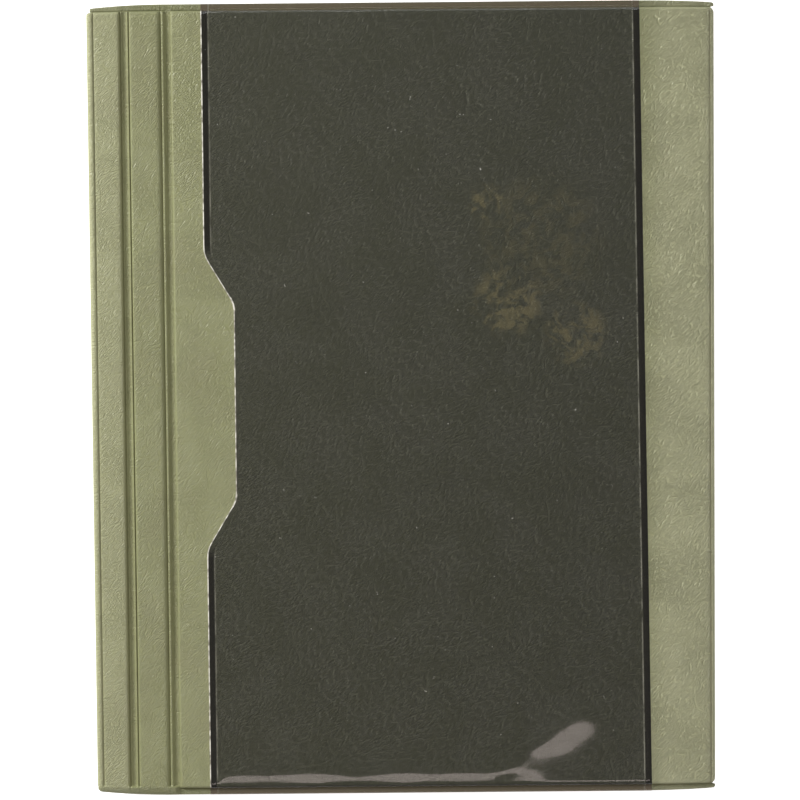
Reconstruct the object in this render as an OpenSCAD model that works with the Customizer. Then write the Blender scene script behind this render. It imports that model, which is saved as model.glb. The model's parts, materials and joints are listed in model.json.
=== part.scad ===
// Stamp album with a welded leatherette case, a clear cover pocket and post-bound stock leaves.
// It lies on its back cover: +X runs from the spine to the fore-edge, +Y to the head of the page,
// +Z up through the closed album. Lengths are in millimetres.

/* [Case] */
// Width of the closed case, spine to fore-edge
case_w = 247; // [200:1:300]
// Height of the case, over the welded rims
case_h = 314; // [250:1:360]
// Thickness of one padded cover
cover_t = 3; // [2.6:0.1:4]
// Thickness of the outer leatherette
skin_t = 0.6; // [0.4:0.1:0.8]
// Thickness of the inner lining
lining_t = 0.3; // [0.2:0.05:0.4]
// Radius of the case's corner at the spine
spine_r = 1.5; // [0.8:0.1:2]
// Radius of the rounded shoulders beside the welds
shoulder_r = 0.8; // [0.4:0.1:1.2]

/* [Welds] */
// Width of the welded rim at the head and the tail
rim_w = 2.8; // [2:0.1:4]
// Thickness of the vinyl where it is welded
weld_t = 0.8; // [0.6:0.1:1]
// Depth of a weld's middle below the cover's outer face
weld_depth = 1.8; // [1.6:0.05:2]
// Width of the clamped strip beside the spine
clamp_strip_w = 13.2; // [12:0.1:20]
// Width of the groove between the clamped strip and the hinge strip
inner_groove_w = 3.8; // [3.8:0.1:5]
// Width of the hinge strip
hinge_strip_w = 12.3; // [10:0.1:20]
// Width of the groove between the hinge strip and the front panel
outer_groove_w = 4; // [3.8:0.1:5]

/* [Cover pocket] */
// Distance from the spine to the pocket's open edge
window_x = 45.2; // [40:0.1:60]
// Width of the pocket
window_w = 174.4; // [120:0.1:185]
// How far the pocket's welded edge leans from head to tail
window_lean = 4; // [0:0.5:6]
// Thickness of the clear film
film_t = 0.4; // [0.3:0.05:0.6]
// Depth of the thumb notch
notch_d = 11.7; // [6:0.1:20]
// Length of the thumb notch at the film's edge
notch_len = 116.8; // [60:0.1:160]
// Length of each slanted side of the thumb notch, along the edge
notch_slant = 19.5; // [8:0.1:28]
// Radius of the notch's corners
notch_r = 3.5; // [1:0.1:6]

/* [Leaves] */
// Number of stock leaves
leaf_count = 8; // [6:1:8]
// Space from one leaf to the next
leaf_pitch = 2.3; // [2.2:0.1:3]
// Thickness of the black card
card_t = 0.6; // [0.4:0.05:0.7]
// Thickness of one layer of clear strips
strip_t = 0.25; // [0.15:0.05:0.3]
// Thickness of the glassine interleaf
interleaf_t = 0.15; // [0.1:0.05:0.2]
// Height of a leaf
leaf_h = 300; // [230:1:340]
// Distance from a leaf's edge to the fore-edge of the case
fore_margin = 6; // [4:0.5:10]
// How far an interleaf stops short of the leaf's fore-edge
interleaf_inset = 1; // [0.5:0.5:4]
// Radius of a leaf's outer corners
leaf_corner_r = 5; // [2:0.5:10]
// Rows of clear strips on each side of a leaf
strip_rows = 7; // [4:1:9]
// Gap between two rows of strips
strip_gap = 3; // [2:0.5:6]
// Margin around the block of strips
strip_margin = 10; // [8:0.5:16]

/* [Binding] */
// Number of binding posts
post_count = 3; // [2:1:4]
// Distance from one post to the next
post_pitch = 108; // [60:1:120]
// Outer radius of a post's barrel
post_r = 2.5; // [2:0.1:3]
// Radius of the post's screw
screw_r = 1.5; // [1.2:0.1:1.8]
// Radius of a post's or a screw's head
head_r = 4; // [3.6:0.1:4.2]
// Thickness of a head
head_t = 0.9; // [0.7:0.05:1]
// Radius of a washer
washer_r = 4.3; // [4.1:0.1:4.5]
// Thickness of a washer
washer_t = 0.3; // [0.2:0.05:0.4]
// Thickness of a steel flange bar
bar_t = 0.5; // [0.4:0.05:0.5]

/* [Clearances] */
// Gap around a board in its pocket
board_gap = 0.1; // [0.05:0.05:0.3]
// Gap between the linings and the leaf block
block_gap = 0.1; // [0.05:0.05:0.3]
// Radial gap around a post or a screw
post_gap = 0.1; // [0.05:0.05:0.2]
// Gap between a clamped stub and its leaf
score_gap = 0.6; // [0.4:0.1:1]
// Gap between a post's barrel and the washer of its screw
barrel_gap = 0.4; // [0.2:0.1:1]
// Gap between a fold's bead and the web beside it
fold_gap = 0.15; // [0.1:0.05:0.3]

/* [Hidden] */
$fn = 48;
block_t = leaf_count * leaf_pitch + 2 * block_gap;
closed_t = 2 * cover_t + block_t;
body_h = case_h - 2 * rim_w;
weld_z = closed_t - weld_depth;
inner_fold_x = clamp_strip_w + inner_groove_w / 2;
hinge_x0 = clamp_strip_w + inner_groove_w;
hinge_x1 = hinge_x0 + hinge_strip_w;
outer_fold_x = hinge_x1 + outer_groove_w / 2;
panel_x0 = hinge_x1 + outer_groove_w;
fore_edge_x = case_w - cover_t / 2;
bead_r = weld_t / 2;
stub_x0 = cover_t + block_gap;
stub_x1 = hinge_x0;
leaf_x0 = stub_x1 + score_gap;
leaf_x1 = case_w - fore_margin;
card_z = (leaf_pitch - card_t) / 2;
interleaf_z = leaf_pitch - 2 * interleaf_t - strip_t;
post_x = (cover_t - lining_t + clamp_strip_w - skin_t - board_gap) / 2;
barrel_top = closed_t - cover_t + lining_t - barrel_gap;
slot_w = 0.8;
slot_depth = 0.4;

// The spine's outer face is x = 0 while a piece is drawn; this puts the case's middle there.
module place() translate([-case_w / 2, 0, 0]) children();

// Turns a front piece into its twin on the back cover.
module on_back() translate([0, 0, closed_t]) mirror([0, 0, 1]) children();

// A flat drawing in x and z, drawn out along y over a length h, centred.
module along_y(h) rotate([90, 0, 0]) linear_extrude(h, center = true) children();

// A flat drawing in y and z, drawn out along x from x0 to x1.
module along_x(x0, x1)
    translate([x0, 0, 0]) rotate([90, 0, 90]) linear_extrude(x1 - x0) children();

module block(x0, x1, h, z0, z1)
    translate([x0, -h / 2, z0]) cube([x1 - x0, h, z1 - z0]);

// One corner-rounded end view of a padded strip, w wide, with its outer face at the top.
module padded_outline(x0, x1, r) {
    translate([x0, closed_t - cover_t]) square([x1 - x0, cover_t - r]);
    translate([x0 + r, closed_t - cover_t]) square([x1 - x0 - 2 * r, cover_t]);
    for (x = [x0 + r, x1 - r]) translate([x, closed_t - r]) circle(r);
}

// The padded shell of leatherette over a strip, open on its inner side for the lining.
module strip_shell(x0, x1) difference() {
    intersection() {
        along_y(body_h) padded_outline(x0, x1, shoulder_r);
        along_x(x0, x1) padded_outline(-body_h / 2, body_h / 2, shoulder_r);
    }
    block(x0 + skin_t, x1 - skin_t, body_h - 2 * skin_t, closed_t - cover_t - 1, closed_t - skin_t);
}

// The flat welded vinyl between x0 and x1, run out to the rims.
module weld_web(x0, x1) block(x0, x1, case_h, weld_z - weld_t / 2, weld_z + weld_t / 2);

// The welded rims at the head and the tail of a strip.
module rims(x0, x1) for (side = [-1, 1])
    translate([x0, side * (body_h / 2 + rim_w / 2) - rim_w / 2, weld_z - weld_t / 2])
        cube([x1 - x0, rim_w, weld_t]);

module fold_bead(x) translate([x, 0, weld_z]) rotate([90, 0, 0])
    cylinder(r = bead_r, h = case_h, center = true);

module strip_board(x0, x1, h = body_h)
    block(x0 + skin_t + board_gap, x1 - skin_t - board_gap, h - 2 * (skin_t + board_gap),
          closed_t - cover_t + lining_t, closed_t - skin_t - board_gap);

module strip_lining(x0, x1)
    block(x0 + skin_t, x1 - skin_t, body_h - 2 * skin_t,
          closed_t - cover_t, closed_t - cover_t + lining_t);

// Places its children at every post.
module at_posts() for (i = [0:post_count - 1])
    translate([post_x, (i - (post_count - 1) / 2) * post_pitch, 0]) children();

module post_holes(r) at_posts() translate([0, 0, -1]) cylinder(r = r, h = closed_t + 2);

// ---- covers -------------------------------------------------------------------------------

module cover_skin() {
    difference() {
        intersection() {
            along_y(body_h) {
                translate([panel_x0, closed_t - cover_t])
                    square([fore_edge_x - panel_x0, cover_t - shoulder_r]);
                translate([panel_x0 + shoulder_r, closed_t - cover_t])
                    square([fore_edge_x - panel_x0 - shoulder_r, cover_t]);
                translate([panel_x0 + shoulder_r, closed_t - shoulder_r]) circle(shoulder_r);
                translate([fore_edge_x, closed_t - cover_t / 2]) circle(cover_t / 2);
            }
            along_x(panel_x0, case_w) padded_outline(-body_h / 2, body_h / 2, shoulder_r);
        }
        block(panel_x0 + skin_t, fore_edge_x, body_h - 2 * skin_t,
              closed_t - cover_t - 1, closed_t - skin_t);
    }
    weld_web(outer_fold_x + bead_r + fold_gap, panel_x0 + skin_t / 2);
    rims(panel_x0, fore_edge_x);
}

module cover_board() block(panel_x0 + skin_t + board_gap, fore_edge_x - board_gap,
    body_h - 2 * (skin_t + board_gap), closed_t - cover_t + lining_t, closed_t - skin_t - board_gap);

module cover_lining() block(panel_x0 + skin_t, fore_edge_x, body_h - 2 * skin_t,
    closed_t - cover_t, closed_t - cover_t + lining_t);

module hinge_skin() {
    strip_shell(hinge_x0, hinge_x1);
    rims(hinge_x0, hinge_x1);
    weld_web(inner_fold_x, hinge_x0 + skin_t / 2);
    weld_web(hinge_x1 - skin_t / 2, outer_fold_x);
    fold_bead(inner_fold_x);
    fold_bead(outer_fold_x);
}

module front_skin() color("#8c8d6b") cover_skin();
module front_board() color("#a68c5f") cover_board();
module front_lining() color("#6f7055") cover_lining();
module back_skin() color("#8c8d6b") on_back() cover_skin();
module back_board() color("#a68c5f") on_back() cover_board();
module back_lining() color("#6f7055") on_back() cover_lining();
module front_strip_skin() color("#8b8b69") hinge_skin();
module front_strip_board() color("#a68c5f") strip_board(hinge_x0, hinge_x1);
module front_strip_lining() color("#6f7055") strip_lining(hinge_x0, hinge_x1);
module back_strip_skin() color("#8b8b69") on_back() hinge_skin();
module back_strip_board() color("#a68c5f") on_back() strip_board(hinge_x0, hinge_x1);
module back_strip_lining() color("#6f7055") on_back() strip_lining(hinge_x0, hinge_x1);

// ---- cover pocket -------------------------------------------------------------------------

// The side view of the film: flat over the panel, then down onto the rim at each end.
module film_outline() {
    translate([-body_h / 2, closed_t]) square([body_h, film_t]);
    for (side = [0, 1]) mirror([side, 0]) {
        translate([body_h / 2, weld_z + weld_t / 2])
            square([film_t, closed_t - weld_z - weld_t / 2 + film_t]);
        translate([body_h / 2, weld_z + weld_t / 2]) square([rim_w, film_t]);
    }
}

module notch_outline() offset(r = notch_r) offset(delta = -notch_r) polygon([
    [window_x - 2 * notch_d, -notch_len / 2], [window_x, -notch_len / 2],
    [window_x + notch_d, -notch_len / 2 + notch_slant],
    [window_x + notch_d, notch_len / 2 - notch_slant],
    [window_x, notch_len / 2], [window_x - 2 * notch_d, notch_len / 2]]);

module window_film() color("#43443c") difference() {
    along_x(window_x, window_x + window_w + window_lean / 2) film_outline();
    linear_extrude(closed_t + 2 * film_t) notch_outline();
    // The welded edge leans, so a wedge comes off it towards the head.
    linear_extrude(closed_t + 2 * film_t) polygon([
        [window_x + window_w + window_lean / 2, -case_h / 2 - 1],
        [window_x + window_w - window_lean / 2, case_h / 2 + 1],
        [window_x + window_w + window_lean, case_h / 2 + 1],
        [window_x + window_w + window_lean, -case_h / 2 - 1]]);
}

// ---- spine and binding --------------------------------------------------------------------

// The spine and its two clamped strips seen from the tail: a C, cover_t thick.
module c_outline(x0, x1, z0, r) difference() {
    union() {
        translate([x0 + r, z0]) square([x1 - x0 - r, closed_t - 2 * z0]);
        translate([x0, z0 + r]) square([r, closed_t - 2 * (z0 + r)]);
        if (r > 0) for (z = [z0 + r, closed_t - z0 - r]) translate([x0 + r, z]) circle(r);
    }
    translate([cover_t, cover_t]) square([case_w, closed_t - 2 * cover_t]);
}

module spine_skin() color("#97976f") {
    difference() {
        along_y(body_h) c_outline(0, clamp_strip_w, 0, spine_r);
        along_y(body_h - 2 * skin_t) translate([skin_t, skin_t])
            square([clamp_strip_w - 2 * skin_t, closed_t - 2 * skin_t]);
    }
    for (side = [0, 1]) translate([0, 0, side * closed_t]) mirror([0, 0, side]) {
        weld_web(clamp_strip_w - skin_t / 2, inner_fold_x - bead_r - fold_gap);
        rims(spine_r, clamp_strip_w);
    }
}

module spine_lining() color("#6f7055") difference() {
    block(cover_t - lining_t, clamp_strip_w - skin_t, body_h - 2 * skin_t,
          cover_t - lining_t, closed_t - cover_t + lining_t);
    block(cover_t, clamp_strip_w, body_h, cover_t, closed_t - cover_t);
    post_holes(post_r + post_gap);
}

module spine_board() color("#a68c5f")
    block(skin_t + board_gap, cover_t - lining_t - board_gap, body_h - 2 * (skin_t + board_gap),
          cover_t, closed_t - cover_t);

module flange_board() difference() {
    block(cover_t - lining_t, clamp_strip_w - skin_t - board_gap, body_h - 2 * (skin_t + board_gap),
          closed_t - cover_t + lining_t, closed_t - skin_t - board_gap);
    post_holes(washer_r + post_gap);
}
module front_flange_board() color("#a68c5f") flange_board();
module back_flange_board() color("#a68c5f") on_back() flange_board();

module flange_bar() difference() {
    block(stub_x0, clamp_strip_w - skin_t, leaf_h,
          closed_t - cover_t - block_gap - bar_t, closed_t - cover_t - block_gap);
    post_holes(post_r + post_gap);
}
module front_flange_bar() color("#a9abae") flange_bar();
module back_flange_bar() color("#a9abae") on_back() flange_bar();

module post_barrels() color("#c3c4c6") at_posts() difference() {
    union() {
        translate([0, 0, cover_t - lining_t - washer_t - head_t]) cylinder(r = head_r, h = head_t);
        translate([0, 0, cover_t - lining_t - washer_t])
            cylinder(r = post_r, h = barrel_top - cover_t + lining_t + washer_t);
    }
    translate([0, 0, cover_t]) cylinder(r = screw_r + post_gap / 2, h = closed_t);
}

module post_screws() color("#c3c4c6") at_posts() {
    head_z = closed_t - cover_t + lining_t + washer_t;
    difference() {
        translate([0, 0, head_z]) cylinder(r = head_r, h = head_t);
        translate([-head_r, -slot_w / 2, head_z + head_t - slot_depth])
            cube([2 * head_r, slot_w, slot_depth + 1]);
    }
    translate([0, 0, head_z - block_t / 2]) cylinder(r = screw_r, h = block_t / 2);
}

module post_washers() color("#c3c4c6") at_posts() for (z = [cover_t - lining_t - washer_t,
                                                            closed_t - cover_t + lining_t])
    translate([0, 0, z]) difference() {
        cylinder(r = washer_r, h = washer_t);
        translate([0, 0, -1]) cylinder(r = post_r + post_gap, h = washer_t + 2);
    }

// ---- leaves -------------------------------------------------------------------------------

// The lowest point of a leaf's share of the block; leaf 1 is the topmost.
function leaf_z(i) = cover_t + block_gap + (leaf_count - i) * leaf_pitch;

module leaf_stubs() color("#1c1c1e") difference() {
    for (i = [1:leaf_count])
        block(stub_x0, stub_x1, leaf_h, leaf_z(i) + card_z, leaf_z(i) + card_z + card_t);
    post_holes(post_r + post_gap);
}

// The spacers that make the binding as thick as the filled leaves.
module guard_strips() color("#2a2a2c") difference() {
    for (i = [1:leaf_count])
        block(stub_x0, stub_x1, leaf_h,
              leaf_z(i) + card_z + card_t,
              i == 1 ? leaf_z(i) + leaf_pitch - bar_t : leaf_z(i - 1) + card_z);
    post_holes(post_r + post_gap);
}

module leaf(i) color("#1c1c1e")
    translate([0, 0, leaf_z(i) + card_z]) linear_extrude(card_t) leaf_outline(leaf_x0, leaf_h);

module leaf_outline(x0, h) {
    translate([x0, -h / 2]) square([leaf_x1 - x0 - leaf_corner_r, h]);
    translate([x0, -h / 2 + leaf_corner_r]) square([leaf_x1 - x0, h - 2 * leaf_corner_r]);
    for (side = [-1, 1]) translate([leaf_x1 - leaf_corner_r, side * (h / 2 - leaf_corner_r)])
        circle(leaf_corner_r);
}

// The clear strips on both faces of a leaf, in rows up the page.
module leaf_strips(i) color("#c9cfcf") {
    row = (leaf_h - 2 * strip_margin + strip_gap) / strip_rows;
    for (n = [0:strip_rows - 1], z = [card_z - strip_t, card_z + card_t])
        translate([leaf_x0 + strip_margin, -leaf_h / 2 + strip_margin + n * row, leaf_z(i) + z])
            cube([leaf_x1 - leaf_x0 - 2 * strip_margin, row - strip_gap, strip_t]);
}

module interleaf(i) color("#e4e1d3") translate([0, 0, leaf_z(i) + interleaf_z])
    linear_extrude(interleaf_t) difference() {
        leaf_outline(leaf_x0 + strip_margin, leaf_h - strip_margin);
        translate([leaf_x1 - interleaf_inset, -case_h / 2]) square([case_w, case_h]);
    }

place() front_skin();
place() front_board();
place() front_lining();
place() window_film();
place() front_strip_skin();
place() front_strip_board();
place() front_strip_lining();
place() spine_skin();
place() spine_board();
place() front_flange_board();
place() back_flange_board();
place() spine_lining();
place() back_skin();
place() back_board();
place() back_lining();
place() back_strip_skin();
place() back_strip_board();
place() back_strip_lining();
place() front_flange_bar();
place() back_flange_bar();
place() post_barrels();
place() post_screws();
place() post_washers();
place() leaf_stubs();
place() guard_strips();
for (i = [1:leaf_count]) {
    place() leaf(i);
    place() leaf_strips(i);
    place() interleaf(i);
}
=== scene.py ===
# %% [markdown]
# # A stamp album in welded leatherette
#
# This notebook dresses a stamp album that lies closed on a table. The album was designed as a
# mechanism first, so its sizes, its folds and its leaves are already settled in a imported frame. Blender's
# work is the surface of things: padded vinyl that was welded with a hot die, a smoky film pocket, black
# card leaves.
#
# Everything is in metres, in the frame's own axes: +X from the spine to the fore-edge, +Y from the tail of
# the page to its head, +Z up through the closed album.

# %% Load the frame
import bmesh
import bpy
import json
import math
from mathutils import Matrix, Vector, noise

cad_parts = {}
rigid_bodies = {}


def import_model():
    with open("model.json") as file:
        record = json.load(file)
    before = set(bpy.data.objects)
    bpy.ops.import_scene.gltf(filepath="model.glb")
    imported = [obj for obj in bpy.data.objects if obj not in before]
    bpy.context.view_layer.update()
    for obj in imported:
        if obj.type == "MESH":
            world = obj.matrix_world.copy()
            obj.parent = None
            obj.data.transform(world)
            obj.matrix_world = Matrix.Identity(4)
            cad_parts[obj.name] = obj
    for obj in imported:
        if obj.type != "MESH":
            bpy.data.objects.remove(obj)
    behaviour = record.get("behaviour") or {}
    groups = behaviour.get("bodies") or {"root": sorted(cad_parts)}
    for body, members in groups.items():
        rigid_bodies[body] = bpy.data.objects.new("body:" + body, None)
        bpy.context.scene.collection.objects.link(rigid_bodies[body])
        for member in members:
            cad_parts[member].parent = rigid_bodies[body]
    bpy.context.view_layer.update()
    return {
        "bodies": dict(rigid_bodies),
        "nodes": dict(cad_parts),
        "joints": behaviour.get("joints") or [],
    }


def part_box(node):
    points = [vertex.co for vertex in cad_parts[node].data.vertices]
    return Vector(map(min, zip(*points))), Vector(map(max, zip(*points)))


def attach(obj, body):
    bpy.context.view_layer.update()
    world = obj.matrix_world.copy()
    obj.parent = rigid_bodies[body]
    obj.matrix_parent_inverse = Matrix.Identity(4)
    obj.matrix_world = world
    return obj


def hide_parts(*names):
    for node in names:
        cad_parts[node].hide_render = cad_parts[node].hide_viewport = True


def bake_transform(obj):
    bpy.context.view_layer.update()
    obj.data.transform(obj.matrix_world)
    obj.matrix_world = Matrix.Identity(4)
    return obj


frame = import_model()
nodes = frame["nodes"]

# %% [markdown]
# ## Measures
#
# A maker of welded stationery thinks in millimetres from the spine, so this script does too. The outer
# sizes are read from the frame, and only the marks of the welding die are written here. `TO_FRAME` turns
# album millimetres (x = 0 at the spine's outer face, y = 0 at mid-height) into the frame's metres.

# %% Measures of the case
MM = 0.001
spine_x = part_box("spine_skin")[0].x


def album_box(name):
    """A node's lowest and highest corners in album millimetres."""
    shift = Vector((spine_x, 0, 0))
    return [(corner - shift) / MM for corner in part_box(name)]


def album_joint(name):
    """A fold's place in album millimetres."""
    joint = next(j for j in frame["joints"] if j["name"] == name)
    return (Vector(joint["pos_m"]) - Vector((spine_x, 0, 0))) / MM


TO_FRAME = Matrix.Translation((spine_x, 0, 0)) @ Matrix.Scale(MM, 4)
closed = album_box("spine_skin")[1].z
half_h = album_box("spine_skin")[1].y
case_w = album_box("front_skin")[1].x
cover_t = closed - album_box("front_lining")[0].z
inner_fold = album_joint("front_inner_fold").x
outer_fold = album_joint("front_outer_fold").x
weld_z = album_joint("front_inner_fold").z
weld_depth = closed - weld_z
skin_t = album_box("front_skin")[1].z - album_box("front_board")[1].z
strip_x0 = album_box("front_strip_lining")[0].x - skin_t
strip_x1 = album_box("front_strip_lining")[1].x + skin_t
clamp_x1 = 2 * inner_fold - strip_x0
panel_x0 = 2 * outer_fold - strip_x1
film_x0, film_x1 = (corner.x for corner in album_box("window_film"))
film_t = album_box("window_film")[1].z - closed
print(f"case {case_w:.1f} x {2 * half_h:.1f} x {closed:.1f} mm, covers {cover_t:.1f} mm thick")
print(f"clamped strip to {clamp_x1:.1f}, hinge strip {strip_x0:.1f} to {strip_x1:.1f}")
print(f"panel from {panel_x0:.1f}, film from {film_x0:.1f} to {film_x1:.1f}")

# %% [markdown]
# ## How the welding die shapes the vinyl
#
# The case is two sheets of vinyl with boards between them. A brass die heated by radio waves presses the
# sheets together along the head and the tail and along each fold. So every padded strip has the same end: a
# round shoulder that drops off the board, a pressed line, and a thin flat rim. One function gives the
# height of the vinyl above the weld's middle plane, and every strip of the case uses it. Writing it once is
# what keeps the rim running straight through all the strips, as the die left it.

# %% The welded rim and its shoulder
WELD_HALF = 0.4       # half the thickness of the fused vinyl
RIM_W = 2.7           # width of the flat rim
RIM_ROUND = 0.35      # the rim's cut edge is melted round over this width
PRESS_W = 0.2         # half-width of the die's pressed line
PRESS_DEEP = 0.3      # its depth
SHOULDER_W = 1.1      # the shoulder rises over this width
SOFT_W = 3.0          # where the die is worn, the body rolls down over this width
TOP = weld_depth      # the body's outer face, its inner face, and that face once the lining covers it
UNDER = weld_depth - cover_t
BURIED = UNDER + 0.35
CORNER_RUN = 30.0     # the head and tail draw in over this length near the corners
CORNER_IN = 1.6       # and by this much at the corners
BODY_DRAW = 0.22      # the padded body draws in by this share of it


def smooth(t):
    """0 below 0, 1 above 1, and an S-curve between."""
    t = min(max(t, 0.0), 1.0)
    return t * t * (3 - 2 * t)


def rim_half(edge, outer):
    """Half the rim's thickness at a distance from its cut edge."""
    half = WELD_HALF
    if edge < RIM_ROUND:
        half *= 0.25 + 0.75 * math.sqrt(max(0.0, 1 - (1 - edge / RIM_ROUND) ** 2))
    if outer:
        half -= PRESS_DEEP * math.exp(-(((edge - RIM_W + PRESS_W) / PRESS_W) ** 2))
    return half


def shoulder(edge):
    """0 on the rim and 1 on the padded body, along a quarter of a circle."""
    t = min(max((edge - RIM_W) / SHOULDER_W, 0.0), 1.0)
    return math.sqrt(1 - (1 - t) ** 2)


def welded(up, edge, soft_end=0.0):
    """The height above the weld plane of vinyl that stands `up` above it on the body.

    Where `soft_end` is 1 the die's edge was worn: the body rolls into the rim with no pressed line.
    """
    half = rim_half(edge, up > 0)
    if soft_end and up > 0:
        filled = up + (TOP - up) * smooth((SOFT_W + 0.9 - edge) / 0.8)
        t = min(edge / SOFT_W, 1.0)
        rolled = filled * (0.2 + 0.8 * math.sqrt(1 - (1 - t) ** 2))
        return soft_end * rolled + (1 - soft_end) * welded(up, edge)
    if abs(up) <= WELD_HALF:
        return up * half / WELD_HALF
    return math.copysign(half + (abs(up) - WELD_HALF) * shoulder(edge), up)


def corner_draw(x, edge):
    """How far the head and the tail draw in at x, at a distance from their edge."""
    spine_end, fore_end = max(0.0, 1 - x / CORNER_RUN), max(0.0, 1 - (case_w - x) / CORNER_RUN)
    share = 1 - (1 - BODY_DRAW) * smooth(edge / RIM_W)
    return CORNER_IN * share * smooth(1 - edge / 45) * (spine_end ** 2 + 0.6 * fore_end ** 2)


def fore_draw(x, edge):
    """How far the fore-edge draws in where the rim ends in an ear and the body has a round corner."""
    ear = 1 - math.sqrt(max(0.0, 1 - (1 - min(edge / 1.2, 1.0)) ** 2))
    corner = max(0.0, 1 - max(edge - RIM_W, 0.0) / 2.0) ** 2 * smooth((edge - RIM_W + 0.5) / 0.5)
    return (1.1 * ear + 1.3 * corner) * smooth((x - case_w + 4) / 3.5)


def ripple(x, y):
    """The slight unevenness of vinyl stretched over board, in millimetres."""
    broad = noise.noise((x / 34, y / 52, 3.1))
    narrow = noise.noise((x / 9, y / 15, 7.7))
    return 0.11 * broad + 0.03 * narrow


print("rim height", welded(weld_depth, 1.0), "body height", welded(weld_depth, 20.0))

# %% [markdown]
# ## Drawing a strip out along the album
#
# A strip has one cross-section from head to tail, so it is drawn as a ring of a few points and extruded
# along y, as a profile would be pulled through a die. The rows are close together where the rim and the
# shoulder are, and wide apart in the middle. After the extrusion each point is moved to its height on the
# welded end.
#
# Each point of a ring has a middle (x, z), the direction that the vinyl faces there, and its height in that
# direction. On the covers the direction is straight up. Round the spine it turns, which is why it is kept.

# %% Rows, rings and the loft
END_ROWS = [0, 0.12, 0.35, 0.9, 1.6, 2.1, 2.3, 2.4, 2.5, 2.6, 2.7,
            2.76, 2.85, 3.0, 3.2, 3.5, 3.8, 4.2, 5, 7, 10, 14]  # distances from the head and the tail
MIDDLE_STEP = 9.0                                               # and the step between rows elsewhere


def rows(step=MIDDLE_STEP):
    """The y of every row, from tail to head."""
    inner = half_h - END_ROWS[-1]
    count = round(2 * inner / step)
    middle = [-inner + 2 * inner * i / count for i in range(1, count)]
    tail = [edge - half_h for edge in END_ROWS]
    return tail + middle + [-y for y in reversed(tail)]


def flat_ring(top, bottom):
    """A closed ring over a flat middle: `top` runs right as (x, up), `bottom` runs back left."""
    return [(x, weld_z, 0.0, 1.0, up) for x, up in top + bottom]


def loft(ring):
    """Pulls a ring of (x, z, facing x, facing z, up) along y and closes its ends."""
    bm = bmesh.new()
    rib = bm.verts.layers.int.new("rib")
    ys = rows()
    row = [bm.verts.new((x, ys[0], z)) for x, z, *_ in ring]
    for i, vert in enumerate(row):
        vert[rib] = i
    edges = [bm.edges.new((row[i - 1], row[i])) for i in range(len(row))]
    first = list(edges)
    for y0, y1 in zip(ys, ys[1:]):
        made = bmesh.ops.extrude_edge_only(bm, edges=edges)["geom"]
        verts = {g for g in made if isinstance(g, bmesh.types.BMVert)}
        bmesh.ops.translate(bm, vec=(0, y1 - y0, 0), verts=list(verts))
        edges = [g for g in made if isinstance(g, bmesh.types.BMEdge) and set(g.verts) <= verts]
    for end in (first, edges):
        bmesh.ops.edgeloop_fill(bm, edges=end)
    for vert in bm.verts:
        x, z, face_x, face_z, up = ring[vert[rib]]
        y = vert.co.y
        edge = half_h - abs(y)
        worn = smooth((panel_x0 + 0.5 - x) / 2.5) if y < 0 else 0.0
        height = welded(up, edge, worn if face_z > 0.5 else 0.0)
        if up > 1 and face_z > 0.9:
            height += ripple(x, y) * smooth((edge - RIM_W) / 6)
        out_x, out_z = x + face_x * height, z + face_z * height
        out_y = math.copysign(abs(y) - corner_draw(out_x, edge), y)
        vert.co = (out_x - fore_draw(out_x, edge), out_y, out_z)
    bmesh.ops.recalc_face_normals(bm, faces=bm.faces)
    return bm


def turn_over(bm):
    """Moves a front piece to its twin's place on the back cover."""
    flip = Matrix.Translation((0, 0, closed)) @ Matrix.Diagonal((1, 1, -1, 1))
    bmesh.ops.transform(bm, matrix=flip, verts=bm.verts)
    bmesh.ops.reverse_faces(bm, faces=bm.faces)


def finish_piece(bm, name, material, smooth_shaded=True):
    """Makes the object of a mesh drawn in album millimetres."""
    bmesh.ops.transform(bm, matrix=TO_FRAME, verts=bm.verts)
    for face in bm.faces:
        face.smooth = smooth_shaded
    mesh = bpy.data.meshes.new(name)
    bm.to_mesh(mesh)
    bm.free()
    for item in material if isinstance(material, list) else [material]:
        mesh.materials.append(item)
    piece = bpy.data.objects.new(name, mesh)
    bpy.context.scene.collection.objects.link(piece)
    print(f"{name}: {len(mesh.polygons)} faces")
    return piece


print("rows along the album:", len(rows()))

# %% [markdown]
# ## Material helpers
#
# Colours are picked as sRGB hex values, as a designer would note them, and turned into the linear values
# that the shader expects. One small function adds any node with its settings and links. Its values fill the
# node's sockets in order, or by label, or by number (s6) where labels repeat, and a node given as a value
# is linked by its first output. Patterns are worked out in millimetres, so object coordinates (metres) are
# multiplied by a thousand first.

# %% Colour and node helpers
PRODUCT, SUM, LESS = ({"operation": name} for name in ("MULTIPLY", "ADD", "SUBTRACT"))
SIZE, LARGER = ({"operation": name} for name in ("ABSOLUTE", "MAXIMUM"))
S_CURVE = {"interpolation_type": "SMOOTHSTEP"}   # a range mapped onto another, clamped
COLOUR = {"data_type": "RGBA"}
FLAT = {"noise_dimensions": "2D"}


def linear(hex_code):
    """An sRGB hex colour as linear RGBA."""
    channels = [int(hex_code[i:i + 2], 16) / 255 for i in (1, 3, 5)]
    return [c / 12.92 if c <= 0.04045 else ((c + 0.055) / 1.055) ** 2.4 for c in channels] + [1.0]


def add(tree, kind, settings, *values, **labelled):
    """Adds a node, sets its properties, and sets or links its sockets."""
    node = tree.nodes.new("ShaderNode" + kind)
    for name, value in settings.items():
        setattr(node, name, value)
    sockets = dict(enumerate(values))
    for label, value in labelled.items():
        sockets[int(label[1:]) if label[1:].isdigit() else label.replace("_", " ")] = value
    for key, value in sockets.items():
        source = value.outputs[0] if isinstance(value, bpy.types.Node) else value
        if isinstance(source, bpy.types.NodeSocket):
            tree.links.new(source, node.inputs[key])
        else:
            node.inputs[key].default_value = source
    return node


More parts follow.
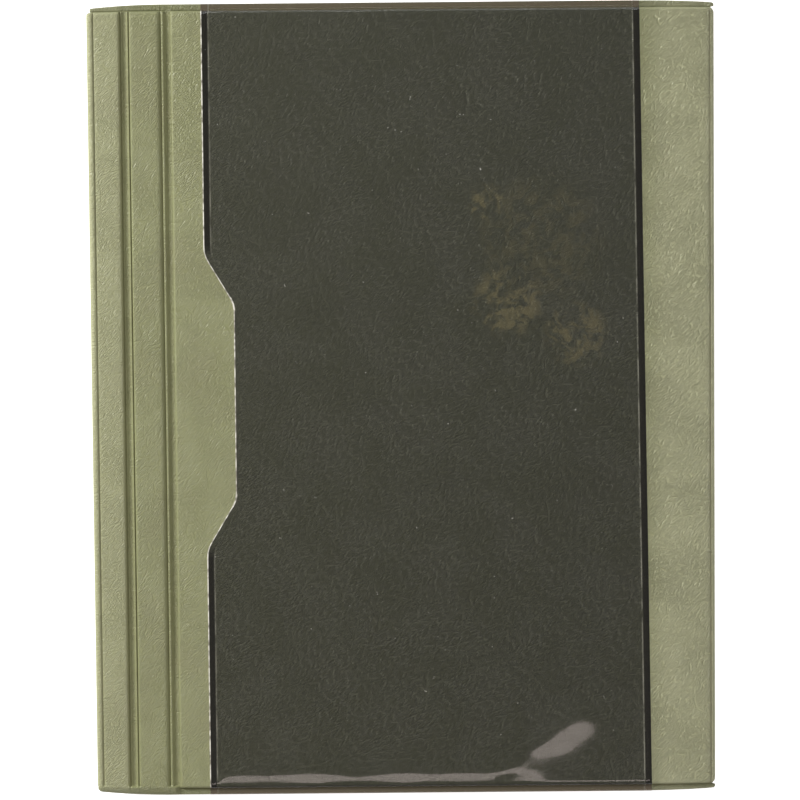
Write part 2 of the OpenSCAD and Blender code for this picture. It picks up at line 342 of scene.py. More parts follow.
def new_material(name):
    """A material with only its output node, and its tree."""
    material = bpy.data.materials.new(name)
    material.use_nodes = True
    tree = material.node_tree
    tree.nodes.clear()
    output = add(tree, "OutputMaterial", {})
    return material, tree, output.inputs["Surface"]


def millimetres(tree):
    """Object coordinates in millimetres."""
    coords = add(tree, "TexCoord", {}).outputs["Object"]
    return add(tree, "VectorMath", {"operation": "SCALE"}, coords, Scale=1000.0)


def layered(tree, colour, layers):
    """A colour with other hex colours laid over it, each by its share."""
    for share, hex_code in layers:
        colour = add(tree, "Mix", COLOUR, share, s6=colour, s7=linear(hex_code)).outputs[2]
    return colour


# %% [markdown]
# ## Leatherette
#
# Leatherette is PVC sheet, calendered and then pressed by an engraved steel roller with a leather grain.
# Two things make it read as leather: short creases that run mostly one way, a few millimetres long and
# under a millimetre apart, and finer crossing ones that come and go. A cell pattern's borders, stretched
# along one direction and bent by noise, draw such creases. They are cut into the bump, and the colour is
# painted a little darker in them as painted shade. PVC has an IOR of about 1.53 and a soft, slightly
# greasy sheen. A hand holds an album by its spine, so the grain is worn flatter there and keeps its depth
# at the fore-edge. The colour carries more painted light: a painted sheen on the strips beside the spine
# and the fore-edge, and painted shade on the welded rims at the head and the tail.

# %% Leatherette
GRIP_SIDE = (-110.0, 100.0)  # mm across the book, spine to fore-edge
GRIP_DEPTH = (0.7, 1.6)      # share of the grain's depth that is left there
SPINE_SHEEN = (14.5, 12.0)     # mm from the spine between which the painted sheen sets in
FORE_SHEEN = (34.0, 17.0)      # and mm from the fore-edge
RIM_SHADE = (4.0, 3.0)           # mm from the head and the tail between which the painted rim shade sets in


def on_the_sheet(tree):
    """Millimetres along the sheet before it was wrapped: x runs on down the spine's side, and y is y."""
    place = add(tree, "SeparateXYZ", {}, millimetres(tree))
    unrolled = add(tree, "Math", LESS, place.outputs[0], place.outputs[2])
    return add(tree, "CombineXYZ", {}, unrolled, place.outputs[1]), place


def crease_layer(tree, where, turn, across, along, width):
    """1 in the creases of one direction, 0 between them; sizes in millimetres."""
    turned = add(tree, "VectorRotate", {"rotation_type": "Z_AXIS"}, where, Angle=turn)
    scaled = add(tree, "VectorMath", PRODUCT, turned, (1 / across, 1 / along, 0))
    borders = add(tree, "TexVoronoi", {"feature": "DISTANCE_TO_EDGE", "voronoi_dimensions": "2D"},
                  Vector=scaled, Scale=1.0, Randomness=1.0)
    return add(tree, "MapRange", S_CURVE, borders.outputs["Distance"], 0.0, width, 1.0, 0.0)


def bend(tree, where, scale, reach):
    """Coordinates pushed about by noise, up to half of `reach` millimetres."""
    field = add(tree, "TexNoise", FLAT, Vector=where, Scale=scale, Detail=1.0)
    shift = add(tree, "VectorMath", LESS, field.outputs["Color"], (0.5, 0.5, 0.5))
    return add(tree, "VectorMath", {"operation": "MULTIPLY_ADD"}, shift, (reach, reach, reach), where)


def patches(tree, where, scale, low, high, to_low, to_high):
    """Soft patches in which a crease direction is strong or weak."""
    field = add(tree, "TexNoise", FLAT, Vector=where, Scale=scale, Detail=1.0, Distortion=0.5)
    return add(tree, "MapRange", S_CURVE, field, low, high, to_low, to_high)


def grain_depth(tree, where):
    """How deep the grain lies: less on the ends and the spine's side, and less where a hand grips it."""
    facing = add(tree, "SeparateXYZ", {}, add(tree, "TexCoord", {}).outputs["Normal"])
    off_the_ends = add(tree, "Math", LESS, 1.0, add(tree, "Math", SIZE, facing.outputs[1]))
    sideways = add(tree, "Math", SIZE, facing.outputs[0])
    softer = add(tree, "Math", {"operation": "MULTIPLY_ADD"}, sideways, -0.7, 1.0)
    across_the_book = add(tree, "SeparateXYZ", {}, where)
    worn = add(tree, "MapRange", S_CURVE, across_the_book, *GRIP_SIDE, *GRIP_DEPTH)
    return add(tree, "Math", PRODUCT, add(tree, "Math", PRODUCT, off_the_ends, softer), worn)


def leather_creases(tree, where):
    """1 in the bottom of a crease and 0 between creases."""
    bent = bend(tree, bend(tree, where, 0.045, 3.0), 0.8, 0.3)
    main = crease_layer(tree, bent, math.radians(50), 0.65, 4.4, 0.26)
    cross = crease_layer(tree, bent, math.radians(-32), 1.05, 4.4, 0.18)
    fine = crease_layer(tree, bent, math.radians(20), 0.5, 1.3, 0.3)
    long = crease_layer(tree, bent, math.radians(36), 3.2, 17.0, 0.045)
    main = add(tree, "Math", PRODUCT, main, patches(tree, where, 0.045, 0.35, 0.6, 0.75, 1.1))
    cross = add(tree, "Math", PRODUCT, cross, patches(tree, where, 0.05, 0.42, 0.66, 0.1, 0.9))
    creases = add(tree, "Math", LARGER, main, cross)
    for layer, share in ((fine, 0.4), (long, 0.9)):
        creases = add(tree, "Math", LARGER, creases, add(tree, "Math", PRODUCT, layer, share))
    return creases


def make_leatherette(name, body_hex, shade_hex, warm_hex, sheen_hex, depth_mm=0.34):
    """Pressed PVC leatherette in a body colour, with painted shade in its creases and on its rims, and a
    painted sheen beside the spine and the fore-edge.
    """
    material, tree, surface = new_material(name)
    where, place = on_the_sheet(tree)
    creases = leather_creases(tree, where)
    skin_noise = add(tree, "TexNoise", FLAT, Vector=where, Scale=0.4, Detail=3.0)
    swell = add(tree, "Math", PRODUCT, skin_noise, 0.5)   # the soft unevenness between creases
    relief = add(tree, "Math", LESS, swell, creases)
    height = add(tree, "Math", PRODUCT, relief, grain_depth(tree, where))
    bump = add(tree, "Bump", {}, Strength=1.0, Distance=depth_mm * MM, Height=height)
    cloud = add(tree, "TexNoise", FLAT, Vector=where, Scale=0.045, Detail=2.0)
    warm = add(tree, "MapRange", S_CURVE, cloud, 0.4, 0.8, 0.0, 0.3)
    across, side = place.outputs[0], add(tree, "Math", SIZE, place.outputs[1])
    # Painted sheen: the strips beside the spine and the fore-edge are painted paler, where they tilt towards
    # the lights.
    from_spine = [spine_x / MM + mm for mm in SPINE_SHEEN]
    from_fore_edge = [spine_x / MM + case_w - mm for mm in FORE_SHEEN]
    painted_sheen = add(tree, "Math", SUM, add(tree, "MapRange", S_CURVE, across, *from_spine, 0.0, 0.6),
                 add(tree, "MapRange", S_CURVE, across, *from_fore_edge, 0.0, 1.4))
    # Painted shade: the welded rims at the head and the tail are painted darker.
    painted_rim_shade = add(tree, "MapRange", S_CURVE, side, *(half_h - mm for mm in RIM_SHADE), 0.0, 0.4)
    colour = layered(tree, linear(body_hex), [(warm, warm_hex),
                                              (add(tree, "Math", PRODUCT, painted_sheen, 0.7), sheen_hex),
                                              (painted_rim_shade, shade_hex),
                                              # painted shade: the creases are painted darker
                                              (add(tree, "Math", PRODUCT, creases, 0.16), shade_hex)])
    gloss = add(tree, "MapRange", S_CURVE, cloud, 0.3, 0.7, 0.46, 0.5)
    shader = add(tree, "BsdfPrincipled", {}, Base_Color=colour, Roughness=gloss, IOR=1.53, Normal=bump)
    tree.links.new(shader.outputs[0], surface)
    return material


leatherette = make_leatherette("pressed_pvc_leatherette", "#919368", "#5F6141", "#918E69", "#B4B48E")

print("made", leatherette.name)

# %% [markdown]
# ## The padded strips of the front cover
#
# From the spine the front shows a clamped strip, a weld, a hinge strip, a second weld and the panel. Each
# strip is one closed ring: its outer face with rounded shoulders, and its inner face. At the fore-edge the
# vinyl isn't welded but folded round the board, so the panel's ring ends in a nose with a shallow crease
# before it.

# %% Rings of the hinge strip and the panel
def spread(a, b, up, count):
    """Evenly spaced points of a flat stretch, so that it can ripple."""
    return [(a + (b - a) * i / (count - 1), up) for i in range(count)]


strip_top = ([(strip_x0, -0.2), (strip_x0, 0.7), (strip_x0 + 0.08, 1.2), (strip_x0 + 0.3, TOP - 0.22),
              (strip_x0 + 0.7, TOP - 0.06)]
             + spread(strip_x0 + 1.4, strip_x1 - 2.2, TOP, 6)
             + [(strip_x1 - 1.5, TOP - 0.1), (strip_x1 - 0.9, TOP - 0.33), (strip_x1 - 0.4, TOP - 0.8),
                (strip_x1 - 0.1, 0.55), (strip_x1, -0.2)])
strip_under = [(strip_x1 - 0.2, BURIED), (strip_x0 + 0.2, BURIED)]

FOLD_X = case_w - 1.6
panel_top = ([(panel_x0, -0.2), (panel_x0, 0.6), (panel_x0 + 0.1, 1.1), (panel_x0 + 0.3, TOP - 0.3),
              (panel_x0 + 0.65, TOP - 0.08)]
             + spread(panel_x0 + 1.2, FOLD_X - 2.4, TOP, 30)
             + [(FOLD_X - 1.4, TOP - 0.08), (FOLD_X - 0.6, TOP - 0.24), (FOLD_X - 0.25, TOP - 0.42),
                (FOLD_X, TOP - 0.85), (FOLD_X + 0.25, TOP - 0.5)])
NOSE_MIDDLE = (TOP - 0.5 + UNDER) / 2
NOSE_R = (TOP - 0.5 - UNDER) / 2
panel_nose = [(FOLD_X + 0.25 + (case_w - FOLD_X - 0.25) * math.sin(a), NOSE_MIDDLE + NOSE_R * math.cos(a))
              for a in (math.pi * i / 8 for i in range(1, 9))]
panel_under = [(FOLD_X - 0.6, BURIED), (panel_x0 + 0.2, BURIED)]

strip_ring = flat_ring(strip_top, strip_under)
panel_ring = flat_ring(panel_top, panel_nose + panel_under)
print("points in the rings:", len(strip_ring), len(panel_ring))

# %% Loft the hinge strips and the panels, front and back
def make_cover_piece(ring, name, body, node, back):
    """Lofts a ring on the front or the back, and lets it stand for its node."""
    bm = loft(ring)
    if back:
        turn_over(bm)
    piece = finish_piece(bm, name, leatherette)
    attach(piece, body)
    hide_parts(node)


make_cover_piece(strip_ring, "front_hinge_strip_vinyl", "front_hinge_strip", "front_strip_skin", False)
make_cover_piece(panel_ring, "front_panel_vinyl", "front_cover", "front_skin", False)
make_cover_piece(strip_ring, "back_hinge_strip_vinyl", "back_hinge_strip", "back_strip_skin", True)
make_cover_piece(panel_ring, "back_panel_vinyl", "back_cover", "back_skin", True)

# %% [markdown]
# ## The spine and its clamped strips
#
# One stretch of vinyl runs from the front clamped strip round the spine to the back one. Its ring follows a
# C: the middle line turns a quarter circle at each corner, and the facing direction turns with it. A
# shallow crease shows on the front where the board of the clamped strip ends and the spine's begins.

# %% Ring of the spine
CORNER_R = 0.5        # radius of the middle line at the spine's corners
CREASE = 0.7          # depth of the crease beside the spine
corner_x = weld_depth + CORNER_R
corner_z = weld_z - CORNER_R
clamp_top = [(clamp_x1, -0.2), (clamp_x1, 0.5), (clamp_x1 - 0.15, 1.1), (clamp_x1 - 0.5, TOP - 0.24),
             (clamp_x1 - 1.1, TOP - 0.06), (clamp_x1 - 2.2, TOP), (clamp_x1 - 5, TOP - 0.04),
             (clamp_x1 - 7, TOP - 0.12), (clamp_x1 - 9, TOP - 0.2), (clamp_x1 - 9.9, TOP - 0.3),
             (clamp_x1 - 10.2, TOP - 0.42), (clamp_x1 - 10.45, TOP - CREASE), (clamp_x1 - 10.65, TOP - 0.4),
             (corner_x + 0.05, TOP - 0.14)]
half_ring = [(x, weld_z, 0.0, 1.0, up) for x, up in clamp_top]
for i in range(1, 8):
    turn = math.pi / 2 * i / 8
    face = (-math.sin(turn), math.cos(turn))
    half_ring.append((corner_x + CORNER_R * face[0], corner_z + CORNER_R * face[1], *face, TOP - 0.07))
for i in range(3):
    half_ring.append((weld_depth, corner_z - 1 - i * 4.0, -1.0, 0.0, TOP - 0.05))


def mirrored(points):
    """The lower half of the C, from the upper one."""
    return [(x, closed - z, fx, -fz, up) for x, z, fx, fz, up in reversed(points)]


inner_half = [(weld_depth, corner_z - 2, -1.0, 0.0, BURIED), (weld_depth + 1.4, weld_z, 0.0, 1.0, BURIED),
              (clamp_x1 - 0.2, weld_z, 0.0, 1.0, BURIED)]
spine_ring = half_ring + mirrored(half_ring) + mirrored(inner_half) + inner_half
spine_piece = finish_piece(loft(spine_ring), "spine_vinyl", leatherette)
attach(spine_piece, "binding")
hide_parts("spine_skin")

# %% [markdown]
# ## The four folds
#
# Between the strips the die has fused the vinyl to a thin web, which is the hinge itself. The die's own
# profile shows in it: beads where hot vinyl was squeezed out, and a flat recess. When a cover opens, the
# web bends; here each web is a piece of its own, left in place and not attached to either body.

# %% Webs of the folds
def web_ring(x0, x1, marks):
    """A thin web between two strips, with the die's marks as (share of the width, height)."""
    top = [(x0 - 0.25, 0.3)] + [(x0 + (x1 - x0) * share, up) for share, up in marks] + [(x1 + 0.25, 0.3)]
    under = [(x1 + 0.25, -WELD_HALF)] + [(x1 + (x0 - x1) * i / 8, -WELD_HALF) for i in range(9)]
    return flat_ring(top, under + [(x0 - 0.25, -WELD_HALF)])


inner_marks = [(0.0, 0.3), (0.07, 0.42), (0.13, 0.8), (0.2, 0.78), (0.27, 0.45), (0.33, 0.36), (0.5, 0.34),
               (0.68, 0.36), (0.74, 0.6), (0.8, 1.08), (0.86, 1.22), (0.92, 1.05), (0.96, 0.6), (1.0, 0.4)]
outer_marks = [(0.0, 0.75), (0.08, 1.05), (0.17, 1.2), (0.26, 1.1), (0.33, 0.7), (0.38, 0.4), (0.46, 0.25),
               (0.6, 0.2), (0.8, 0.2), (0.9, 0.24), (1.0, 0.3)]


def make_web(name, x0, x1, marks, back):
    """Lofts a web on the front or the back, as a piece of its own that stays in place."""
    bm = loft(web_ring(x0, x1, marks))
    if back:
        turn_over(bm)
    piece = finish_piece(bm, name, leatherette)
    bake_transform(piece)


make_web("front_inner_weld", clamp_x1, strip_x0, inner_marks, False)
make_web("front_outer_weld", strip_x1, panel_x0, outer_marks, False)
make_web("back_inner_weld", clamp_x1, strip_x0, inner_marks, True)
make_web("back_outer_weld", strip_x1, panel_x0, outer_marks, True)

# %% [markdown]
# ## The film pocket
#
# The pocket is a sheet of smoke-tinted PVC film. The die welds it into the rims at the head and the tail,
# and a knife line holds its right edge. Its left edge is open, with a notch for the thumb. The sheet starts
# as a flat grid whose columns are then laid between the two side edges, so the notch's outline is a formula
# and the columns stay close together where the film curls. Its height is the vinyl's own height under it,
# plus a gap: film clings where it touches and stands off along its edges, and the line where it leaves the
# vinyl catches the light.

# %% Outline of the film
NOTCH_HALF = 58.4     # half the notch's length at the film's edge
NOTCH_SLANT = 19.5    # length along the edge of each slanted side
NOTCH_DEEP = 11.7
NOTCH_SOFT = 0.14     # how much of a slanted side its round corners take
LEAN = 4.0            # how far the right edge leans from tail to head


def soft_step(t, soft=NOTCH_SOFT):
    """t held between 0 and 1, with both corners rounded."""
    def soft_ramp(s):
        if s <= -soft:
            return 0.0
        return s if s >= soft else (s + soft) ** 2 / (4 * soft)
    return soft_ramp(t) - soft_ramp(t - 1)


def film_left(y):
    """x of the film's open edge."""
    return film_x0 + NOTCH_DEEP * soft_step((NOTCH_HALF - abs(y)) / NOTCH_SLANT)


def film_right(y):
    """x of the film's welded edge."""
    return film_x1 - LEAN * (0.5 + y / (2 * half_h))


# %% Height of the film
LEFT_MARKS = [(1.3, 1.4, 0.16), (2.8, 0.45, 0.14)]   # distance from the edge, half-width and height
RIGHT_MARKS = [(1.2, 1.2, 0.2), (2.7, 0.45, 0.16)]
HEAD_MARK = (4.4, 0.9, 0.16)
TAIL_CURL = (8.8, 5.2, 0.8)   # the long fold of loose film beside the tail
TAIL_MARK = (4.6, 0.9, 0.2)
CURL_END = 142.0              # where it ends, from the film's open edge


def bell(t):
    """A round bump of height 1 between -1 and 1."""
    return math.cos(math.pi / 2 * min(abs(t), 1.0)) ** 2


def mark(distance, at, half_width, height):
    """A round line that runs beside an edge of the film."""
    return height * bell((distance - at) / half_width)


def film_gap(x, y):
    """How far the film stands off the vinyl, in millimetres."""
    from_left, from_right = x - film_left(y), film_right(y) - x
    from_tail, from_head = y + half_h, half_h - y
    away = smooth((abs(y) - NOTCH_HALF + 2) / 6)
    gap = 0.05 + 0.05 * (1 + noise.noise((x / 26, y / 31, 1.5)))
    gap += away * sum(mark(from_left, *shape) for shape in LEFT_MARKS)
    gap += sum(mark(from_right, *shape) for shape in RIGHT_MARKS)
    wander = 1.6 * noise.noise((x / 19, 0, 5.0)) + 0.7 * noise.noise((x / 6, 0, 8.0))
    gap += mark(from_head - 0.4 * wander, *HEAD_MARK)
    curl = smooth((x - film_x0 - 1) / 6) * smooth((film_x0 + CURL_END - x) / 20)
    gap += curl * mark(from_tail - wander, *TAIL_CURL)
    gap += mark(from_tail, *TAIL_MARK)
    return gap + air_pocket(x, y)


POCKET_AT = (180.0, -137.5)   # the middle of the trapped air, in album millimetres
POCKET_HALF = (25.0, 8.0)     # half its length and half its width
POCKET_TURN = math.radians(32)
POCKET_H = 1.5


def air_pocket(x, y):
    """A pocket of trapped air: a slanting blister that faces the tail."""
    dx, dy = x - POCKET_AT[0], y - POCKET_AT[1]
    along = (dx * math.cos(POCKET_TURN) + dy * math.sin(POCKET_TURN)) / POCKET_HALF[0]
    across = (dy * math.cos(POCKET_TURN) - dx * math.sin(POCKET_TURN)) / POCKET_HALF[1]
    across /= 0.45 + 0.55 * smooth((along + 1) / 1.5)
    across += 0.25 * noise.noise((x / 9, y / 9, 2.0))
    inside = smooth((1 - (abs(along) ** 3 + abs(across) ** 3) ** (1 / 3)) / 0.22)
    return POCKET_H * inside * (0.5 + 0.5 * max(-1.0, min(across, 1.0)))


def film_height(x, y):
    """z of the film's underside."""
    edge = half_h - abs(y)
    vinyl = weld_z + welded(TOP, edge + 0.12) + ripple(x, y) * smooth((edge - RIM_W) / 6)
    return vinyl + film_gap(x, y) * smooth((edge - RIM_W - 0.2) / 1.5) + 0.03


def film_thickness(y):
    """The film is squeezed thin in the welded rims."""
    return film_t * (0.3 + 0.7 * smooth((half_h - abs(y) - 2) / 1.2))


# %% Lay out the film
EDGE_GLOW = 0.42      # width of the cut edge that gets the painted highlight
SIDE_COLUMNS = [0, 0.15, 0.4, 0.6, 1.0, 1.4, 1.8, 2.2, 2.4, 2.6, 2.8,
                3.0, 3.2, 3.4, 3.6, 3.8, 4.1, 4.6, 5.5, 7, 9]   # distances from either side edge
MIDDLE_COLUMNS = 44


def column_x(column, y):
    """x of a film column at y."""
    left, right = film_left(y), film_right(y)
    last = len(SIDE_COLUMNS) - 1
    count = 2 * last + MIDDLE_COLUMNS
    if column <= last:
        return left + SIDE_COLUMNS[column]
    if column >= count - last:
        return right - SIDE_COLUMNS[count - column]
    share = (column - last) / MIDDLE_COLUMNS
    inner = left + SIDE_COLUMNS[last]
    return inner + (right - SIDE_COLUMNS[last] - inner) * share


def make_film(material, edge_material):
    """The pocket: a grid laid between its side edges, then given its thickness."""
    ys = rows(2.6)
    columns = 2 * (len(SIDE_COLUMNS) - 1) + MIDDLE_COLUMNS
    bm = bmesh.new()
    bmesh.ops.create_grid(bm, x_segments=columns, y_segments=len(ys) - 1, size=0.5)
    loose = bm.verts.layers.float.new("loose")
    contact = bm.verts.layers.float.new("contact")
    for vert in bm.verts:
        column = round((vert.co.x + 0.5) * columns)
        y = ys[round((vert.co.y + 0.5) * (len(ys) - 1))]
        x = column_x(column, y)
        away = smooth((abs(y) - NOTCH_HALF + 2) / 6)
        left_strip = away * smooth((2.9 - (x - film_left(y))) / 0.4)
        right_strip = smooth((2.6 - (film_right(y) - x)) / 0.4)
        vert[loose] = max(left_strip, right_strip)
        touching = (away * bell((x - film_left(y) - 3.0) / 0.35), bell((film_right(y) - x - 2.8) / 0.35))
        vert[contact] = max(touching)
        draw = corner_draw(x, half_h - abs(y))
        vert.co = (x, math.copysign(abs(y) - draw, y), film_height(x, y))
    upper = bmesh.ops.extrude_face_region(bm, geom=bm.faces[:])["geom"]
    for vert in (g for g in upper if isinstance(g, bmesh.types.BMVert)):
        vert.co.z += film_thickness(vert.co.y)
    bmesh.ops.recalc_face_normals(bm, faces=bm.faces)
    rim_edges = [e for e in bm.edges if len(e.link_faces) == 2 and e.calc_face_angle(0) > 1.2]
    bmesh.ops.bevel(bm, geom=rim_edges, offset=0.09, segments=2, profile=0.5, affect="EDGES", material=-1)
    for face in bm.faces:
        middle = face.calc_center_median()
        on_edge = middle.x - film_left(middle.y) < EDGE_GLOW and half_h - abs(middle.y) > RIM_W
        face.material_index = 1 if on_edge else 0
    piece = finish_piece(bm, "film_pocket", [material, edge_material])
    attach(piece, "front_cover")
    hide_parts("window_film")
    piece.visible_shadow = False
    return piece


PALE_PATCHES = [((165, 39), 17, 1.0), ((192, 26), 15, 1.0), ((157, 78), 9, 1.0),
          ((178, 64), 30, 0.35)]    # middle, reach and strength


def pale_patches(tree, where):
    """Pale smeared patches round a few places given in album millimetres."""
    smear = bend(tree, where, 0.12, 12.0)
    cloud = add(tree, "TexNoise", {}, Vector=smear, Scale=0.17, Detail=6.0, Roughness=0.65)
    torn = add(tree, "MapRange", S_CURVE, cloud, 0.43, 0.6)
    near = 0.0
    for (x, y), reach, strength in PALE_PATCHES:
        centre = (spine_x / MM + x, y, closed + film_t)
        gap = add(tree, "VectorMath", {"operation": "DISTANCE"}, where, centre).outputs["Value"]
        one = add(tree, "MapRange", S_CURVE, gap, reach / 2, reach, strength, 0.0)
        near = add(tree, "Math", LARGER, near, one)
    return add(tree, "Math", PRODUCT, torn, near)


def flecks(tree, where):
    """Sparse pale scuffs, a millimetre or two long."""
    smear = bend(tree, where, 0.5, 2.5)
    grain = add(tree, "TexVoronoi", {}, Vector=smear, Scale=0.16).outputs["Distance"]
    speck = add(tree, "MapRange", S_CURVE, grain, 0.035, 0.06, 1.0, 0.0)
    thin = add(tree, "TexNoise", {}, Vector=where, Scale=0.9, Detail=3.0)
    return add(tree, "Math", PRODUCT, speck, add(tree, "MapRange", S_CURVE, thin, 0.45, 0.65, 0.0, 0.7))


def make_smoke_film():
    """Calendered PVC film, smoke tinted: dark, glossy, and see-through enough for the grain to show. Its tint
    also carries painted reflections, along the grain's creases and towards the head, and a painted highlight
    along the contact line.
    """
    material, tree, surface = new_material("smoke_tinted_pvc_film")
    where = millimetres(tree)
    sheet, place = on_the_sheet(tree)
    loose = add(tree, "Attribute", {"attribute_name": "loose"}).outputs["Fac"]
    contact = add(tree, "Attribute", {"attribute_name": "contact"}).outputs["Fac"]
    side = add(tree, "Math", SIZE, place.outputs[1])
    rim = add(tree, "MapRange", S_CURVE, side, half_h - 3.0, half_h - 2.6)
    # Painted highlight: the line where the film leaves the vinyl is painted pale, in broken lengths.
    broken = add(tree, "TexNoise", {}, Vector=where, Scale=0.12, Detail=3.0)
    line = add(tree, "Math", PRODUCT, contact, add(tree, "MapRange", S_CURVE, broken, 0.3, 0.65))
    fleck = flecks(tree, where)
    # Painted reflection: the film is painted lighter towards the head.
    painted_reflection_to_head = add(tree, "MapRange", S_CURVE, place.outputs[1], -half_h, half_h)
    # Painted reflection: the film is painted lighter along the leather's creases, where it stands off the
    # grain.
    pressed = add(tree, "Math", PRODUCT, leather_creases(tree, sheet), 0.55)
    paled = add(tree, "Math", PRODUCT, pale_patches(tree, where), 0.6)
    tint = layered(tree, linear("#080808"), [(painted_reflection_to_head, "#181918"), (pressed, "#54544E"), (paled, "#6A6146"),
                                             (loose, "#1A1814"), (rim, "#5E5546"), (line, "#8F8D82"),
                                             (fleck, "#D8D6CC")])
    cover = add(tree, "Math", SUM, 0.62, add(tree, "Math", PRODUCT, loose, 0.22))
    cover = add(tree, "Math", SUM, cover, add(tree, "Math", PRODUCT, fleck, 0.25))
    shader = add(tree, "BsdfPrincipled", {}, Base_Color=tint, Roughness=0.12, IOR=1.54, Alpha=cover)
    tree.links.new(shader.outputs[0], surface)
    return material


def make_film_edge():
    """The film's knife-cut edge catches the light: its pale colour, brighter in broken patches, is a painted
    highlight.
    """
    material, tree, surface = new_material("cut_edge_of_pvc_film")
    broken_highlight = add(tree, "TexNoise", {}, Vector=millimetres(tree), Scale=0.4, Detail=4.0)
    # Painted highlight: pale, and brighter where the noise is high.
    bright = add(tree, "MapRange", S_CURVE, broken_highlight, 0.35, 0.6)
    colour = layered(tree, linear("#8E8A7C"), [(bright, "#E9E6DA")])
    shader = add(tree, "BsdfPrincipled", {}, Base_Color=colour, Roughness=0.25, IOR=1.54)
    tree.links.new(shader.outputs[0], surface)
    return material


film = make_film(make_smoke_film(), make_film_edge())
print("made", ", ".join(material.name for material in film.data.materials))

# %% [markdown]
# ## Inner pieces
#
# The CAD's own pieces keep their shapes where those are right: boards, linings, steel, card and strips.
# Each gets the finish of its real material.

# %% Finishes of the inner pieces
def make_plain(name, hex_a, hex_b, grain_mm, roughness, bump_mm, **finish):
    """A fine-grained finish: two close shades and a low relief of one grain size."""
    material, tree, surface = new_material(name)
    grain = add(tree, "TexNoise", {}, Vector=millimetres(tree), Scale=1 / grain_mm, Detail=5.0, Roughness=0.6)
    share = add(tree, "MapRange", S_CURVE, grain, 0.35, 0.65)
    bump = add(tree, "Bump", {}, Strength=1.0, Distance=bump_mm * MM, Height=grain)
    colour = layered(tree, linear(hex_a), [(share, hex_b)])
    shader = add(tree, "BsdfPrincipled", {}, Base_Color=colour, Roughness=roughness, Normal=bump, **finish)
    tree.links.new(shader.outputs[0], surface)
    return material


# Greyboard is pressed waste paper: mottled, fibrous and quite matt.
greyboard = make_plain("pressed_greyboard", "#8C8474", "#A1998A", 0.8, 0.9, 0.06)
# The lining is thin calendered vinyl with a blotted face, so it has only a faint sheen.
lining = make_plain("matt_vinyl_lining", "#77785A", "#7E7F60", 1.2, 0.62, 0.03, IOR=1.53)
# Zinc plating is bright but softly clouded by its fine crystals.
steel = make_plain("zinc_plated_steel", "#A9ABAD", "#C2C4C6", 0.25, 0.34, 0.004, Metallic=1.0)
# Stock card is dyed through and uncoated, so its black stays a little grey and doesn't shine.
black_card = make_plain("black_stock_card", "#161617", "#222223", 0.5, 0.82, 0.02)
# The strips are clear polyester: glossy, and seen mostly by what they mirror.
clear_film = make_plain("clear_strip_film", "#C6CACA", "#D2D6D6", 6.0, 0.12, 0.004, IOR=1.49, Alpha=0.22)
# Glassine is paper rolled until it is half clear, with a waxy sheen.
glassine = make_plain("glassine_paper", "#D9D5C4", "#E6E2D3", 1.5, 0.45, 0.01, Alpha=0.6)
# Guards are cut from a coarser card than the leaves.
guard_card = make_plain("grey_guard_card", "#2B2B2C", "#38383A", 0.6, 0.85, 0.03)

finishes = {"_board": greyboard, "_lining": lining, "_bar": steel, "post_": steel, "leaf_": black_card,
            "strips_": clear_film, "interleaf_": glassine, "guard_": guard_card}
for name, node in nodes.items():
    for part, material in finishes.items():
        if name.startswith(part) or name.endswith(part):
            node.data.materials.clear()
            node.data.materials.append(material)
            break
print("finished", sum(1 for n in nodes.values() if not n.hide_render), "carried-over nodes")

# %% [markdown]
# ## Score lines of the leaves
#
# A leaf turns on a score: a line along which the card was pressed thin beside the binding. The frame keeps
# the clamped stub and the turning page apart, so the thin card between them is made here. The score of a
# turning leaf stays in place; the others go with the binding.

# %% Score lines
SCORE_T = 0.2         # thickness of the pressed card
SCORE_GRIP = 0.3      # how far it reaches into the stub and the page


def make_score(number):
    """The pressed line between a leaf's stub and its page."""
    low, high = album_box(f"leaf_{number}")
    stub_x1 = album_box("leaf_stubs")[1].x
    middle = (low.z + high.z) / 2
    bm = bmesh.new()
    bmesh.ops.create_grid(bm, x_segments=6, y_segments=2, size=0.5)
    width = low.x - stub_x1 + 2 * SCORE_GRIP
    bmesh.ops.scale(bm, vec=(width, high.y - low.y - 1, 1), verts=bm.verts)
    bmesh.ops.translate(bm, vec=((low.x + stub_x1) / 2, 0, middle - SCORE_T / 2), verts=bm.verts)
    made = bmesh.ops.extrude_face_region(bm, geom=bm.faces[:])["geom"]
    upper = [g for g in made if isinstance(g, bmesh.types.BMVert)]
    bmesh.ops.translate(bm, vec=(0, 0, SCORE_T), verts=upper)
    bmesh.ops.recalc_face_normals(bm, faces=bm.faces)
    piece = finish_piece(bm, f"score_{number}", black_card, False)
    body = f"turning_leaf_{number}"
    if body in frame["bodies"]:
        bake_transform(piece)
    else:
        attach(piece, "binding")


LEAVES = sum(1 for name in nodes if name.startswith("leaf_") and name != "leaf_stubs")
for number in range(1, LEAVES + 1):
    make_score(number)

# %% [markdown]
# ## Stage, light and camera
#
# The album lies on an opal table that glows a little from below, so the floor stays white and casts no
# shadow. A low soft box on the left is the strongest light, which is what draws the shoulders, the beads
# and the grain. A strip beyond the head and one beyond the tail give the glossy film something to mirror.
# The camera hangs almost straight above, a little towards the head, with a long lens.

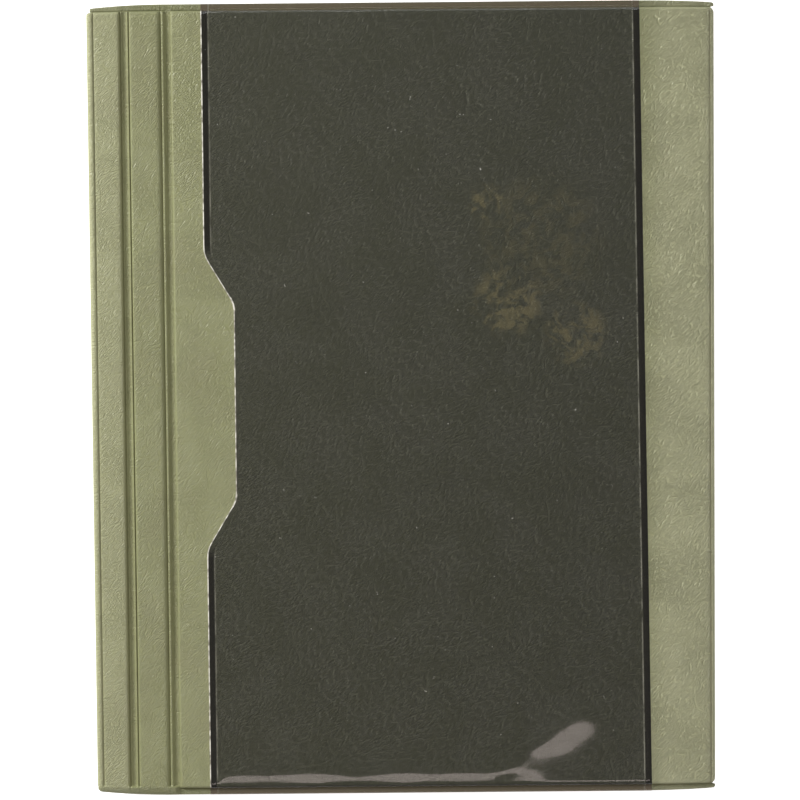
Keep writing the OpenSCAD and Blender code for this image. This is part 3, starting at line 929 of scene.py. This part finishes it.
# %% Floor
FLOOR_SIZE = 24.0     # wide enough that its edge is out of sight from a low view
FLOOR_DROP = 0.0002   # a hair under the album, so the two don't share a plane
bpy.ops.mesh.primitive_plane_add(size=FLOOR_SIZE, location=(0, 0, -FLOOR_DROP))
floor = bpy.context.object
floor.name = "floor"
material, tree, surface = new_material("opal_light_table")
paper = add(tree, "TexNoise", {}, Vector=millimetres(tree), Scale=0.01)
paper_colour = layered(tree, linear("#FAFAFA"), [(paper, "#FDFDFD")])
sweep = add(tree, "BsdfPrincipled", {}, Base_Color=paper_colour, Roughness=0.9,
            Emission_Color=paper_colour, Emission_Strength=0.75)
tree.links.new(sweep.outputs[0], surface)
floor.data.materials.append(material)


# %% Lights
def soft_box(name, place, size, power, tint="#FFFFFF", aim=(0, 0, 0)):
    """An area light of a width and a height, aimed at a point."""
    data = bpy.data.lights.new(name, "AREA")
    data.shape = "RECTANGLE"
    data.size, data.size_y = size
    data.energy = power
    data.color = linear(tint)[:3]
    light = bpy.data.objects.new(name, data)
    light.location = place
    light.rotation_euler = (Vector(aim) - Vector(place)).to_track_quat("-Z", "Y").to_euler()
    bpy.context.scene.collection.objects.link(light)
    print(name, "at", place)


soft_box("left_soft_box", (-1.2, 0.66, 0.62), (0.4, 0.4), 23.5)
soft_box("right_soft_box", (1.25, 0.1, 0.8), (0.6, 0.6), 2.5)
soft_box("head_strip_light", (0, 1.3, 0.75), (0.9, 0.4), 4)
soft_box("tail_strip_light", (0.02, -0.57, 1.02), (0.8, 0.24), 2.6, "#FFEFE8")
world = bpy.data.worlds.new("studio")
world.use_nodes = True
world.node_tree.nodes["Background"].inputs["Color"].default_value = (0.97, 0.98, 1.0, 1)
world.node_tree.nodes["Background"].inputs["Strength"].default_value = 0.25
bpy.context.scene.world = world
bpy.context.scene.view_settings.view_transform = "Standard"

# %% Camera
DISTANCE = 1.15
TILT = math.radians(3.5)
ROLL = math.radians(-0.5)
FRAME_H = 0.3168      # height of the picture at the album's top face
camera_data = bpy.data.cameras.new("camera")
camera_data.sensor_width = 36
camera_data.lens = 36 * DISTANCE / FRAME_H
camera = bpy.data.objects.new("camera", camera_data)
aim = Vector((-0.0012, 0.0004, closed * MM))
camera.location = aim + DISTANCE * Vector((0, math.sin(TILT), math.cos(TILT)))
camera.rotation_euler = (Matrix.Rotation(-TILT, 3, "X") @ Matrix.Rotation(ROLL, 3, "Z")).to_euler()
bpy.context.scene.collection.objects.link(camera)
bpy.context.scene.camera = camera
